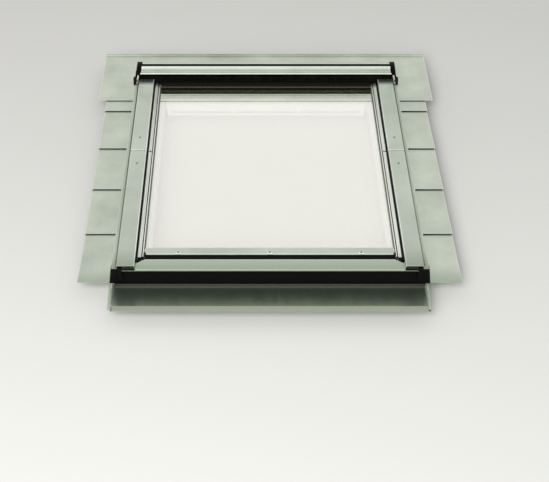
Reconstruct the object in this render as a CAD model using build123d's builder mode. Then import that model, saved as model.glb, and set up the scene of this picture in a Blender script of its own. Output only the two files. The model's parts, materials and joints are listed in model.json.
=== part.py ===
"""Centre-pivot venting skylight for a slated roof, closed, with its cladding and flashing.

Millimetres. The row frame lies in the roof: +X across to the right, +Y up the slope, +Z out of
the roof. Z = 0 is the room-side face of the timber frame, and the origin is the middle of the
whole part's footprint there. Places along the slope are given from the middle of the frame and
moved by centre_y.
"""
from build123d import *
from math import ceil
import os

os.makedirs("parts", exist_ok=True)

# Timber frame
frame_width = 942.0
frame_length = 1178.0
frame_depth = 104.0
frame_wall = 45.0
groove_depth = 8.0
groove_width = 12.0
groove_from_back = 8.0
timber_edge_radius = 3.0

# Plane of the slates
roof_level = 52.0

# Timber sash
running_gap = 5.0
sash_back = 30.0
sash_rise = 4.0
sash_stile_width = 55.0
sash_top_rail_width = 70.0
sash_bottom_rail_width = 56.0
sash_room_radius = 6.0

# Glass unit
glass_rise = 4.0
glass_head_inset = 57.0
glass_sill_inset = 45.5
pane_cover = 11.0
glass_clearance = 1.0
outer_pane_thickness = 4.0
cavity = 15.0
inner_pane_thickness = 7.0
spacer_width = 11.5

# Sheet metal
sheet = 1.0
trim_sheet = 0.8
bend = 1.6

# Sash strips and glazing beads down the sides of the glass
strip_inset = 21.0
strip_width = 10.5
strip_rise = 9.0
strip_drop = 5.0
strip_overhang = 7.5
bead_gap = 3.0
bead_width = 3.5
bead_height = 5.5
bead_reveal = 2.0
bead_overhang = 0.5

# Sash profiles across the bottom and the top of the glass
profile_end_gap = 3.5
profile_lip = 5.0
profile_crest = 9.0
profile_fold = 2.0
bottom_ledge = 17.5
bottom_crest_start = 24.0
bottom_crest_end = 36.0
bottom_front = 40.5
top_ledge = 14.0
top_step = 18.0
top_profile_inset = 25.0
top_profile_rise = 12.0

# Wide side covers, standing proud of the frame
shadow_gap = 6.0
cover_inset = 11.0
cover_rise = 28.0
cover_leg = 10.5
cover_bend = 3.0
front_reach = 18.5
cover_joint = 37.0
joint_gap = 1.0
joint_rise = 1.5
cover_head_inset = 69.0

# Narrow outer trims down the sides of the frame
trim_gap = 1.0
trim_stand = 4.3
trim_rise = 18.0
trim_below = 6.0
trim_head_inset = 90.0

# Black carriers under the wide covers
carrier_reveal = 2.0
carrier_lift = 8.0
carrier_ledge_lift = 13.0
carrier_clearance = 0.5
carrier_start_inset = 33.0
carrier_tongue_inset = 5.5
carrier_gap = 4.0

# Bottom cover over the frame's sill
bottom_cover_lap = 38.0
bottom_lip_rise = 9.0
bottom_lip_height = 5.5
bottom_crown_inset = 21.5
bottom_crown_rise = 16.4
bottom_rear_inset = 29.0
bottom_rear_rise = 17.4
corner_cut_inner = 28.0
corner_cut_outer = 3.0
corner_cut_depth = 20.0

# Black sill profile and corner caps
sill_profile_thickness = 3.0
sill_profile_top_rise = 3.0
sill_profile_drop = 8.0
corner_cap_height = 28.0
corner_cap_setback = 0.7
corner_cap_radius = 3.0

# Hood over the frame's head
hood_front_inset = 67.0
hood_back_reach = 39.0
hood_inset = 17.0
hood_lean = 0.17
hood_low_rise = 46.0
hood_face = 34.5
hood_belly = 1.6
hood_return = 9.0
hood_edge = 2.0
hood_groove = 9.0
hood_groove_depth = 6.0
hood_crown_rise = 5.0
hood_crown = 13.0
hood_crown_fall = 1.0
hood_back_rise = 18.0
hood_back_drop = 10.0
hood_sheet = 1.2
hood_clearance = 2.0

# Hood ends with their feet, side plates, and the vent housing below the hood
hood_seat_rise = 30.0
hood_end_width = 14.5
hood_end_proud = 0.6
side_plate = 4.0
side_plate_setback = 20.0
side_plate_drop = 5.0
tongue_length = 29.0
foot_rise = 25.0
foot_stand = 6.0
foot_wall = 2.0
foot_floor = 14.0
lug_stand = 5.5
lug_inset = 64.0
lug_length = 20.0
vent_gap = 2.0
vent_depth = 70.0
vent_clearance = 1.0
vent_rise = 38.0
vent_slot_pitch = 40.0
vent_slot_bar = 12.0
vent_slot_height = 12.0
vent_slot_depth = 10.0
vent_slot_drop = 8.0

# Apron below the frame
apron_stand = 3.0
apron_reach = 137.0
apron_upper_drop = 8.0
apron_lower_lift = 2.0
apron_hem = 20.0
apron_hem_rise = 3.0
apron_upstand = 8.0
apron_sheet = 0.8

# Soakers down both sides, one for each course of slates
slate_gauge = 254.0
soaker_length = 302.0
soaker_end_inset = 1.0
soaker_flange = 110.0
soaker_sheet = 0.6
soaker_upper_drop = 3.0
soaker_lower_lift = 2.0
soaker_top_drop = 4.0
soaker_stand = 1.8
soaker_splay = 1.0

# Flashing above the frame
head_reach = 250.0
head_wing = 140.0
head_wing_inset = 91.0
head_clearance = 0.5
head_sheet = 0.8
head_lift = 4.0
head_top_drop = 4.0
head_gutter = 3.0
head_check = 8.0

# Steel brackets that fasten the frame to the battens
bracket_sheet = 1.5
bracket_leg = 46.0
bracket_flange = 70.0
bracket_length = 60.0
bracket_drop = 14.0
bracket_hole_radius = 2.75
bracket_hole_pitch = 40.0
bracket_hole_inset = 50.0
bracket_from_end = 150.0

# Pivot hinges in the gap between sash and frame
hinge_plate = 2.0
hinge_length = 150.0
hinge_height = 34.0
hinge_drop = 36.0
hinge_pin_radius = 7.0

# Ventilation flap, control bar and lock at the sash's top rail
flap_thickness = 14.0
flap_lift = 4.0
flap_clearance = 4.0
flap_end_gap = 6.0
bar_end_inset = 6.0
bar_reach = 25.0
bar_lift = 5.0
bar_depth = 6.0
bar_width = 9.0
bar_brackets = 4
bar_bracket_width = 10.0
bar_bracket_sheet = 4.0
bar_bracket_lap = 1.0
bar_bracket_lift = 22.0
lock_width = 90.0
lock_height = 30.0
lock_drop = 51.0
lock_chamfer = 1.0

# Frame and sash, worked out from the sizes above
half_width = frame_width / 2
half_length = frame_length / 2
total_length = apron_reach + frame_length + head_reach
centre_y = -total_length / 2 + apron_reach + half_length
frame_inner = half_width - frame_wall
frame_inner_end = half_length - frame_wall
sash_half = frame_inner - running_gap
sash_end = frame_inner_end - running_gap
sash_front = frame_depth + sash_rise
stile_inner = sash_half - sash_stile_width
top_rail_inner = sash_end - sash_top_rail_width
bottom_rail_inner = -sash_end + sash_bottom_rail_width

# Strips, beads and glass
strip_outer = sash_half - strip_inset
strip_inner = strip_outer - strip_width
strip_bottom = -sash_end - strip_overhang
bead_outer = strip_inner - bead_gap
bead_inner = bead_outer - bead_width
visible_half_width = bead_inner - bead_reveal
visible_top = sash_end - glass_head_inset
visible_bottom = -sash_end + glass_sill_inset
pane_half = visible_half_width + pane_cover
pane_high = visible_top + pane_cover
pane_low = visible_bottom - pane_cover
rebate_half = pane_half + glass_clearance
rebate_high = pane_high + glass_clearance
rebate_low = pane_low - glass_clearance
glass_top = sash_front + glass_rise
strip_top = glass_top + strip_rise
outer_pane_back = glass_top - outer_pane_thickness
inner_pane_front = outer_pane_back - cavity
inner_pane_back = inner_pane_front - inner_pane_thickness
profile_half = bead_inner - profile_end_gap
sash_top_high = sash_end - top_profile_inset
profile_front = glass_top + top_profile_rise

# Side covers, trims and carriers
cover_inner = strip_outer + shadow_gap
cover_outer = half_width - cover_inset
cover_top = frame_depth + cover_rise
cover_underside = cover_top - sheet
cover_leg_end = cover_top - cover_leg
cover_end = -half_length - front_reach
cover_head = half_length - cover_head_inset
trim_inner = cover_outer + trim_gap
trim_outer = half_width + trim_stand
trim_top = frame_depth + trim_rise
trim_head = half_length - trim_head_inset
carrier_inner = strip_outer + carrier_reveal
carrier_start = -half_length + carrier_start_inset

# Bottom cover, corner caps and hood
cap_low = frame_depth - carrier_clearance - corner_cap_height
bottom_cover_half = cover_inner + bottom_cover_lap
bottom_rear = -half_length + bottom_rear_inset
hood_front = half_length - hood_front_inset
hood_back = half_length + hood_back_reach
hood_low = frame_depth + hood_low_rise
hood_face_top = hood_low + hood_face
hood_crown_start = hood_front + hood_edge + hood_groove
hood_crown_end = hood_crown_start + hood_crown
hood_crown_top = hood_face_top + hood_crown_rise
hood_slope_top = hood_crown_top - hood_crown_fall
hood_back_top = frame_depth + hood_back_rise
hood_back_low = roof_level + hood_back_drop
hood_pitch = (hood_slope_top - hood_back_top) / (hood_back - hood_crown_end)
hood_slant = (1 + hood_pitch**2) ** 0.5
hood_half = half_width - hood_inset
hood_end_outer = hood_half + hood_end_width
hood_seat = frame_depth + hood_seat_rise

# Room-side fittings
flap_face = top_rail_inner - flap_thickness
flap_low = sash_back + flap_lift
flap_half = stile_inner - flap_end_gap
bar_half = flap_half - bar_end_inset
bar_y = flap_face - bar_reach
bar_z = flap_low + bar_lift


def across(x_low):
    """Plane whose sketch is (y, z) and whose extrusion runs towards +X from x_low."""
    return Plane.YZ.offset(x_low)


def along(y_high):
    """Plane whose sketch is (x, z) and whose extrusion runs towards -Y from y_high."""
    return Plane.XZ.offset(-(y_high + centre_y))


def from_above(z_low):
    """Plane whose sketch is (x, y) and whose extrusion runs towards +Z from z_low."""
    return Plane.XY.offset(z_low)


def slope(y, z):
    """A point of a section across the slope, with y from the frame's middle."""
    return (y + centre_y, z)


def keep(part, name):
    """Label a finished piece and write its file."""
    part.label = name
    export_step(part, f"parts/{name}.step")


def keep_pair(part, name):
    """Write a right-hand piece and its mirror image across the middle."""
    keep(part, f"{name}_right")
    with BuildPart() as twin:
        mirror(part, about=Plane.YZ)
    keep(twin.part, f"{name}_left")


def polygon_face(*points):
    """Fill the closed outline through the points in the open sketch."""
    Polygon(*points, align=None)


def sheet_face(points, thickness, side, radius):
    """Fill the section of a sheet bent along the points, thickened to one side."""
    with BuildLine() as outline:
        FilletPolyline(*points, radius=radius)
        offset(amount=thickness, side=side, closed=True)
    make_face(outline.edges())


def frame_jamb():
    """Right-hand side member of the frame, full length, with its lining groove."""
    with BuildPart() as jamb:
        with BuildSketch(along(half_length)) as section:
            polygon_face(
                (frame_inner, 0), (half_width, 0), (half_width, frame_depth), (frame_inner, frame_depth)
            )
            fillet(section.vertices(), timber_edge_radius)
        extrude(amount=frame_length)
        groove_middle = groove_from_back + groove_width / 2
        with BuildSketch(along(half_length)):
            with Locations((frame_inner, groove_middle)):
                Rectangle(2 * groove_depth, groove_width)
        extrude(amount=frame_length, mode=Mode.SUBTRACT)
    return jamb.part


def frame_rail(inner, outer):
    """Head or sill of the frame, between the jambs, with its lining groove."""
    with BuildPart() as rail:
        with BuildSketch(across(-frame_inner)) as section:
            polygon_face(
                slope(inner, 0), slope(outer, 0), slope(outer, frame_depth), slope(inner, frame_depth)
            )
            fillet(section.vertices(), timber_edge_radius)
        extrude(amount=2 * frame_inner)
        groove_middle = groove_from_back + groove_width / 2
        with BuildSketch(across(-frame_inner)):
            with Locations(slope(inner, groove_middle)):
                Rectangle(2 * groove_depth, groove_width)
        extrude(amount=2 * frame_inner, mode=Mode.SUBTRACT)
    return rail.part


def sash_stile():
    """Right-hand member of the sash, with the glass rebate along its inner edge."""
    with BuildPart() as stile:
        with BuildSketch(along(sash_end)) as section:
            polygon_face(
                (stile_inner, sash_back), (sash_half, sash_back), (sash_half, sash_front),
                (rebate_half, sash_front), (rebate_half, inner_pane_back), (stile_inner, inner_pane_back),
            )
            room_edge = section.vertices().group_by(Axis.Z)[0].sort_by(Axis.X)[0]
            fillet(room_edge, sash_room_radius)
        extrude(amount=2 * sash_end)
    return stile.part


def sash_rail(outer, inner, rebate):
    """Top or bottom member of the sash, lapped over the stiles above the rebate."""
    with BuildPart() as rail:
        with BuildSketch(across(-stile_inner)) as section:
            polygon_face(
                slope(outer, sash_back), slope(inner, sash_back),
                slope(inner, inner_pane_back), slope(outer, inner_pane_back),
            )
            lowest = section.vertices().group_by(Axis.Z)[0].sort_by(Axis.Y)
            room_edge = lowest[0] if inner < outer else lowest[-1]
            fillet(room_edge, sash_room_radius)
        extrude(amount=2 * stile_inner)
        with BuildSketch(across(-rebate_half)):
            polygon_face(
                slope(outer, inner_pane_back), slope(rebate, inner_pane_back),
                slope(rebate, sash_front), slope(outer, sash_front),
            )
        extrude(amount=2 * rebate_half)
    return rail.part


def pane(back, thickness):
    """One sheet of glass, as large as the rebate lets it be."""
    with BuildPart() as glass:
        with BuildSketch(from_above(back)):
            with Locations((0, (pane_high + pane_low) / 2 + centre_y)):
                Rectangle(2 * pane_half, pane_high - pane_low)
        extrude(amount=thickness)
    return glass.part


def glass_spacer():
    """Spacer ring between the two panes, flush with their edges."""
    with BuildPart() as band:
        with BuildSketch(from_above(inner_pane_front)):
            with Locations((0, (pane_high + pane_low) / 2 + centre_y)):
                Rectangle(2 * pane_half, pane_high - pane_low)
                Rectangle(
                    2 * (pane_half - spacer_width), pane_high - pane_low - 2 * spacer_width,
                    mode=Mode.SUBTRACT,
                )
        extrude(amount=cavity)
    return band.part


def glazing_bead():
    """Long narrow beads beside the glass, rounded on top, with their lower ends on the sash."""
    low = -sash_end - bead_overhang
    with BuildPart() as bead:
        with BuildSketch(along(sash_top_high)) as section:
            polygon_face(
                (bead_inner, glass_top), (bead_outer, glass_top),
                (bead_outer, glass_top + bead_height), (bead_inner, glass_top + bead_height),
            )
            fillet(section.vertices().group_by(Axis.Z)[-1], bead_width / 3)
        extrude(amount=sash_top_high - low)
        with BuildSketch(along(rebate_low)):
            polygon_face(
                (bead_inner, sash_front), (bead_outer, sash_front),
                (bead_outer, glass_top), (bead_inner, glass_top),
            )
        extrude(amount=rebate_low - low)
        mirror(about=Plane.YZ)
    return bead.part


def sash_strip():
    """Right-hand cladding strip of the sash, full length, before it is cut at the pivot."""
    with BuildPart() as strip:
        with BuildSketch(along(sash_top_high)):
            sheet_face(
                [(strip_inner, glass_top), (strip_inner, strip_top - strip_drop),
                 (strip_outer - bend * 2, strip_top), (strip_outer, strip_top - bend),
                 (strip_outer, sash_front)],
                sheet, Side.RIGHT, bend / 2,
            )
        extrude(amount=sash_top_high - strip_bottom)
    return strip.part


def side_cover():
    """Right-hand wide cover, full length: a channel with rounded edges."""
    with BuildPart() as cover:
        with BuildSketch(along(cover_head)):
            sheet_face(
                [(cover_inner, cover_leg_end), (cover_inner, cover_top),
                 (cover_outer, cover_top), (cover_outer, cover_leg_end)],
                sheet, Side.RIGHT, cover_bend,
            )
        extrude(amount=cover_head - cover_end)
    return cover.part


def cut_at_joint(part, low_x, high_x):
    """The lower and the upper length of a cover, parted by a slightly bowed gap at the pivot."""
    middle_x = (low_x + high_x) / 2
    margin = joint_gap
    with BuildPart() as parted:
        add(part)
        with BuildSketch(from_above(0)):
            with BuildLine():
                bottom_y = cover_joint - joint_gap / 2 + centre_y
                top_y = bottom_y + joint_gap
                start, end = low_x - margin, high_x + margin
                lower = ThreePointArc(
                    (start, bottom_y), (middle_x, bottom_y + joint_rise), (end, bottom_y)
                )
                upper = ThreePointArc((start, top_y), (middle_x, top_y + joint_rise), (end, top_y))
                Line(lower @ 0, upper @ 0)
                Line(lower @ 1, upper @ 1)
            make_face()
        extrude(amount=2 * cover_top, mode=Mode.SUBTRACT)
    return parted.part.solids().sort_by(Axis.Y)


def carriers():
    """Black carriers under the right-hand wide cover: one on the sash, one on the frame."""
    outer = cover_outer - sheet - carrier_clearance
    inner = cover_inner + sheet + carrier_clearance
    floor = frame_depth + carrier_lift
    ledge = frame_depth + carrier_ledge_lift
    crown_low = cover_underside - sheet
    tongue_low = cover_leg_end + carrier_clearance
    upper_start = cover_joint + carrier_gap / 2
    with BuildPart() as pair:
        with BuildSketch(along(cover_joint - carrier_gap / 2)) as section:
            polygon_face(
                (carrier_inner, sash_front), (sash_half, sash_front), (sash_half, floor),
                (outer, floor), (outer, cover_underside), (inner, cover_underside),
                (inner, ledge), (carrier_inner, ledge),
            )
            fillet(section.vertices().filter_by_position(Axis.Y, crown_low, cover_top), cover_bend)
        extrude(amount=cover_joint - carrier_gap / 2 - carrier_start)
        with BuildSketch(along(carrier_start)) as section:
            polygon_face(
                (inner, tongue_low), (outer, tongue_low), (outer, cover_underside), (inner, cover_underside)
            )
            fillet(section.vertices().filter_by_position(Axis.Y, crown_low, cover_top), cover_bend)
        extrude(amount=carrier_start - cover_end - carrier_tongue_inset)
        with BuildSketch(along(cover_head)) as section:
            polygon_face(
                (carrier_inner, floor), (frame_inner, floor), (frame_inner, frame_depth),
                (outer, frame_depth), (outer, cover_underside), (inner, cover_underside),
                (inner, ledge), (carrier_inner, ledge),
            )
            fillet(section.vertices().filter_by_position(Axis.Y, crown_low, cover_top), cover_bend)
        extrude(amount=cover_head - upper_start)
    return pair.part


def outer_trim():
    """Right-hand trim: its inner leg stands on the jamb and its outer leg hides the upstands."""
    with BuildPart() as trim:
        with BuildSketch(along(trim_head)):
            sheet_face(
                [(trim_inner, frame_depth), (trim_inner, trim_top),
                 (trim_outer, trim_top), (trim_outer, roof_level + trim_below)],
                trim_sheet, Side.RIGHT, bend,
            )
        extrude(amount=trim_head - cover_end)
    return trim.part


def corner_cap():
    """Right-hand black cap that closes the lower end of the jamb, cover and trim."""
    cap_outer = trim_outer - trim_sheet - carrier_clearance
    cap_top = trim_top - trim_sheet - carrier_clearance
    step = frame_depth - carrier_clearance
    under_cover = cover_leg_end - carrier_clearance
    under_trim = trim_inner + trim_sheet + carrier_clearance / 2
    beside_lip = bottom_cover_half + carrier_clearance
    with BuildPart() as cap:
        with BuildSketch(along(-half_length)) as section:
            polygon_face(
                (bottom_cover_half, cap_low), (cap_outer, cap_low), (cap_outer, cap_top),
                (under_trim, cap_top), (under_trim, step), (cover_outer, step),
                (cover_outer, under_cover), (beside_lip, under_cover), (beside_lip, step),
                (bottom_cover_half, step),
            )
            lower_corner = section.vertices().group_by(Axis.Z)[0].sort_by(Axis.X)[-1]
            fillet(lower_corner, corner_cap_radius)
        extrude(amount=front_reach - corner_cap_setback)
    return cap.part


def bottom_cover():
    """Convex cover over the sill, with a front lip and cut-away rear corners."""
    lip_low = frame_depth + bottom_lip_rise
    corner_inner = cover_inner - corner_cut_inner
    corner_outer = cover_inner - corner_cut_outer
    side = bottom_cover_half + sheet
    with BuildPart() as cover:
        with BuildSketch(across(-bottom_cover_half)):
            with BuildLine():
                lip = Line(slope(cover_end, lip_low), slope(cover_end, lip_low + bottom_lip_height))
                crown = ThreePointArc(
                    lip @ 1,
                    slope(cover_end + bottom_crown_inset, frame_depth + bottom_crown_rise),
                    slope(bottom_rear, frame_depth + bottom_rear_rise),
                )
                Line(crown @ 1, slope(bottom_rear, frame_depth))
                offset(amount=sheet, side=Side.RIGHT, closed=True)
            make_face()
        extrude(amount=2 * bottom_cover_half)
        rear = bottom_rear + centre_y
        with BuildSketch(from_above(0)):
            for hand in (-1, 1):
                polygon_face(
                    (hand * corner_inner, rear + sheet), (hand * corner_inner, rear - sheet),
                    (hand * corner_outer, rear - corner_cut_depth), (hand * side, rear - corner_cut_depth),
                    (hand * side, rear + sheet),
                )
        extrude(amount=2 * cover_top, mode=Mode.SUBTRACT)
    return cover.part


def sash_bottom_profile():
    """Profile that closes the glass at the sash's lower edge: a ledge and a rounded crest."""
    ledge_z = glass_top + profile_lip
    crest_z = glass_top + profile_crest
    front = visible_bottom - bottom_front
    with BuildPart() as profile:
        with BuildSketch(across(-profile_half)):
            sheet_face(
                [slope(visible_bottom, glass_top), slope(visible_bottom, ledge_z),
                 slope(visible_bottom - bottom_ledge, ledge_z),
                 slope(visible_bottom - bottom_crest_start, crest_z),
                 slope(visible_bottom - bottom_crest_end, crest_z),
                 slope(front, ledge_z), slope(front, sash_front)],
                sheet, Side.LEFT, bend,
            )
        extrude(amount=2 * profile_half)
    return profile.part


def sash_top_profile():
    """Profile that closes the glass at the sash's upper edge, in the shade of the hood."""
    lip_z = glass_top + profile_lip
    with BuildPart() as profile:
        with BuildSketch(across(-profile_half)):
            sheet_face(
                [slope(visible_top, glass_top), slope(visible_top, lip_z),
                 slope(visible_top + top_ledge, lip_z + profile_fold),
                 slope(visible_top + top_step, profile_front),
                 slope(sash_top_high, profile_front), slope(sash_top_high, sash_front)],
                sheet, Side.RIGHT, bend / 2,
            )
        extrude(amount=2 * profile_half)
    return profile.part


def sill_profile():
    """Black profile on the front of the sill, between the corner caps and on below them."""
    front = -half_length - sill_profile_thickness
    low, high = roof_level - sill_profile_drop, frame_depth + sill_profile_top_rise
    with BuildPart() as profile:
        with BuildSketch(across(-bottom_cover_half)):
            polygon_face(
                slope(-half_length, low), slope(front, low), slope(front, high), slope(-half_length, high)
            )
        extrude(amount=2 * bottom_cover_half)
        with BuildSketch(across(-half_width)):
            below_caps = cap_low - carrier_clearance
            polygon_face(
                slope(-half_length, low), slope(front, low),
                slope(front, below_caps), slope(-half_length, below_caps),
            )
        extrude(amount=2 * half_width)
    return profile.part


def leaned(reach, z):
    """Distance from the middle of an end face of the hood at height z: it leans in above its seat."""
    return reach - hood_lean * (max(z, hood_seat) - hood_low)


def hood():
    """Sheet hood over the frame's head: bellied face, groove, crown, sloping back and back leg."""
    margin = hood_sheet
    floor = hood_face_top - hood_groove_depth
    face_end = hood_front + hood_edge
    with BuildPart() as sheet_hood:
        with BuildSketch(across(-leaned(hood_half, hood_back_low) - margin)):
            with BuildLine():
                front_low = slope(hood_front, hood_low)
                front_top = slope(hood_front, hood_face_top)
                middle = slope(hood_front - hood_belly, hood_low + hood_face / 2)
                Line(slope(hood_front + hood_return, hood_low), front_low)
                ThreePointArc(front_low, middle, front_top)
                Polyline(
                    front_top, slope(face_end, hood_face_top), slope(face_end + hood_edge / 2, floor),
                    slope(hood_crown_start - hood_edge / 2, floor), slope(hood_crown_start, hood_crown_top),
                    slope(hood_crown_end, hood_slope_top), slope(hood_back, hood_back_top),
                    slope(hood_back, hood_back_low),
                )
                offset(amount=hood_sheet, side=Side.RIGHT, closed=True)
            make_face()
        extrude(amount=2 * (leaned(hood_half, hood_back_low) + margin))
        high, side = hood_crown_top + margin, leaned(hood_half, hood_seat)
        with BuildSketch(along(hood_back + margin)):
            polygon_face(
                (-side, 0), (side, 0), (side, hood_seat), (leaned(hood_half, high), high),
                (-leaned(hood_half, high), high), (-side, hood_seat),
            )
        extrude(amount=hood_back - hood_front + hood_belly + 2 * margin, mode=Mode.INTERSECT)
    return sheet_hood.part


def end_outline(drop):
    """Outline of the hood from the side, a little proud of the sheet, with its front ending at a height."""
    behind = half_length + sheet
    high = hood_crown_top + hood_end_proud
    return [
        slope(hood_front, drop), slope(hood_front, hood_face_top + hood_end_proud),
        slope(hood_crown_start, high), slope(hood_crown_end, high),
        slope(hood_back, hood_back_top + hood_end_proud), slope(hood_back, hood_back_low),
        slope(behind, hood_back_low), slope(behind, hood_seat),
    ]


def leaned_band(inner, outer):
    """Fill the band between two leaning end faces, seen along the slope."""
    high = hood_crown_top + 2 * hood_end_proud
    polygon_face(
        (leaned(inner, hood_seat), 0), (leaned(outer, hood_seat), 0), (leaned(outer, hood_seat), hood_seat),
        (leaned(outer, high), high), (leaned(inner, high), high), (leaned(inner, hood_seat), hood_seat),
    )


def hood_end():
    """Right-hand black end of the hood: the tongue inside it, and its slotted foot with a lug."""
    foot_low = trim_head + joint_gap + centre_y
    seat_low = cover_head + joint_gap + centre_y
    frame_top = half_length + centre_y
    foot_top = frame_depth + foot_rise
    foot_outer = half_width + foot_stand
    seat_outer = leaned(hood_end_outer, hood_seat)
    tongue_inner = hood_half - tongue_length
    inside_front = hood_front + hood_sheet + hood_clearance
    behind_lip = hood_front + hood_return + hood_clearance
    over_lip = hood_low + hood_sheet + hood_clearance
    inside_top = hood_face_top - hood_groove_depth - hood_sheet - hood_clearance
    slope_top = hood_slope_top - (hood_sheet + hood_clearance) * hood_slant
    inside_bend = hood_crown_end + (slope_top - inside_top) / hood_pitch
    inside_back = hood_crown_end + (slope_top - hood_seat) / hood_pitch
    with BuildPart() as end:
        with BuildSketch(across(tongue_inner)):
            polygon_face(*end_outline(hood_seat))
        extrude(amount=seat_outer - tongue_inner)
        with BuildSketch(along(hood_back)):
            leaned_band(hood_half, hood_end_outer)
        extrude(amount=hood_back - hood_front, mode=Mode.INTERSECT)
        with BuildSketch(across(tongue_inner)):
            polygon_face(
                slope(behind_lip, hood_seat), slope(behind_lip, over_lip),
                slope(inside_front, over_lip), slope(inside_front, inside_top),
                slope(inside_bend, inside_top), slope(inside_back, hood_seat),
            )
        extrude(amount=tongue_length + hood_end_width / 2)
        with BuildSketch(from_above(frame_depth)):
            polygon_face(
                (frame_inner, frame_top), (foot_outer, frame_top), (foot_outer, foot_low),
                (trim_inner, foot_low), (trim_inner, seat_low), (frame_inner, seat_low),
            )
        with BuildSketch(from_above(frame_depth)):
            with Locations((foot_outer, half_length - lug_inset + lug_length / 2 + centre_y)):
                Rectangle(2 * lug_stand, lug_length)
        extrude(amount=foot_rise)
        with BuildSketch(from_above(foot_top)):
            with Locations(((frame_inner + seat_outer) / 2, (seat_low + frame_top) / 2)):
                Rectangle(seat_outer - frame_inner, frame_top - seat_low)
        extrude(amount=hood_seat - foot_top)
        with BuildSketch(from_above(frame_depth + foot_floor)):
            with Locations(((trim_inner + foot_wall + half_width) / 2, (foot_low + seat_low) / 2)):
                Rectangle(half_width - trim_inner - foot_wall, seat_low - foot_low)
        extrude(amount=foot_rise - foot_floor, mode=Mode.SUBTRACT)
    return end.part


def hood_cheek():
    """Right-hand black side plate on the hood's end, its lower front corner cut back."""
    outline = end_outline(hood_seat - side_plate_drop)
    corner = slope(hood_front + side_plate_setback, hood_seat)
    with BuildPart() as cheek:
        with BuildSketch(across(hood_end_outer - hood_end_width)):
            polygon_face(*outline, corner)
        extrude(amount=2 * hood_end_width)
        with BuildSketch(along(hood_back)):
            leaned_band(hood_end_outer, hood_end_outer + side_plate)
        extrude(amount=hood_back - hood_front, mode=Mode.INTERSECT)
    return cheek.part


def vent_housing():
    """Black housing of the ventilation slot behind the sash's top profile, wider behind the covers."""
    low_y = sash_top_high + vent_gap
    wing_y = cover_head + joint_gap
    high_y = low_y + vent_depth
    wing = frame_inner - vent_clearance
    over_sash = sash_front + vent_clearance
    top = frame_depth + vent_rise
    slots = int(2 * strip_outer / vent_slot_pitch) - 1
    with BuildPart() as housing:
        with BuildSketch(across(-strip_outer)):
            polygon_face(
                slope(frame_inner_end, frame_depth), slope(frame_inner_end, over_sash),
                slope(low_y, over_sash), slope(low_y, top), slope(high_y, top), slope(high_y, frame_depth),
            )
        extrude(amount=2 * strip_outer)
        with BuildSketch(across(-wing)):
            polygon_face(
                slope(frame_inner_end, frame_depth), slope(frame_inner_end, over_sash),
                slope(wing_y, over_sash), slope(wing_y, top), slope(high_y, top), slope(high_y, frame_depth),
            )
        extrude(amount=2 * wing)
        with BuildSketch(Plane.XZ.offset(-low_y - centre_y)):
            with Locations((0, top - vent_slot_drop)):
                with GridLocations(vent_slot_pitch, 1, slots, 1):
                    Rectangle(vent_slot_pitch - vent_slot_bar, vent_slot_height)
        extrude(amount=-vent_slot_depth, mode=Mode.SUBTRACT)
    return housing.part


def apron():
    """Apron below the sill: short upstand, nearly flat sheet and bent lower hem."""
    upper = -half_length - sill_profile_thickness
    upper_z = roof_level - apron_upper_drop
    lower_z = roof_level + apron_lower_lift
    low = -half_length - apron_reach
    half = half_width + apron_stand
    with BuildPart() as skirt:
        with BuildSketch(across(-half)):
            sheet_face(
                [slope(upper, upper_z + apron_upstand), slope(upper, upper_z),
                 slope(low + apron_hem, lower_z + apron_hem_rise), slope(low, lower_z)],
                apron_sheet, Side.RIGHT, bend,
            )
        extrude(amount=2 * half)
    return skirt.part


def soakers():
    """Right-hand soakers: a flange between the slates and an upstand against the jamb."""
    start = -half_length + soaker_end_inset
    limit = half_length - soaker_end_inset
    lower_z = roof_level + soaker_lower_lift
    upper_z = roof_level - soaker_upper_drop
    top = frame_depth - soaker_top_drop
    with BuildPart() as stack:
        for index in range(ceil((limit - start) / slate_gauge)):
            low = start + index * slate_gauge
            high = min(low + soaker_length, limit)
            share = (high - low) / soaker_length
            inner_low = half_width + soaker_stand + soaker_splay
            inner_high = inner_low - soaker_splay * share
            high_z = lower_z - (lower_z - upper_z) * share
            for y, inner, z in ((low, inner_low, lower_z), (high, inner_high, high_z)):
                with BuildSketch(along(y)):
                    polygon_face(
                        (inner, top), (inner, z), (inner + soaker_flange, z),
                        (inner + soaker_flange, z + soaker_sheet), (inner + soaker_sheet, z + soaker_sheet),
                        (inner + soaker_sheet, top),
                    )
            loft()
    return stack.part


def head_flashing():
    """Flashing above the frame, its wings reaching down beside the head and a turned-up edge."""
    top = half_length + head_reach
    wing_outer = half_width + head_wing
    wing_low = half_length - head_wing_inset + centre_y
    notch = trim_outer + head_clearance
    gutter = half_length + head_gutter
    level = roof_level + head_lift
    upstand_half = hood_half - hood_inset
    with BuildPart() as flashing:
        with BuildSketch(from_above(level)):
            polygon_face(
                (-wing_outer, wing_low), (-notch, wing_low), (-notch, gutter + centre_y),
                (notch, gutter + centre_y), (notch, wing_low), (wing_outer, wing_low),
                (wing_outer, top + centre_y), (-wing_outer, top + centre_y),
            )
            with Locations((0, (half_length + gutter) / 2 + centre_y)):
                Rectangle(2 * upstand_half, head_gutter)
        extrude(amount=head_sheet)
        with BuildSketch(from_above(level)):
            with Locations((0, half_length + head_sheet / 2 + centre_y)):
                Rectangle(2 * upstand_half, head_sheet)
        extrude(amount=frame_depth - head_top_drop - level)
        with BuildSketch(from_above(level)):
            with Locations((0, top - head_sheet / 2 + centre_y)):
                Rectangle(2 * wing_outer, head_sheet)
        extrude(amount=head_check)
    return flashing.part


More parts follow.
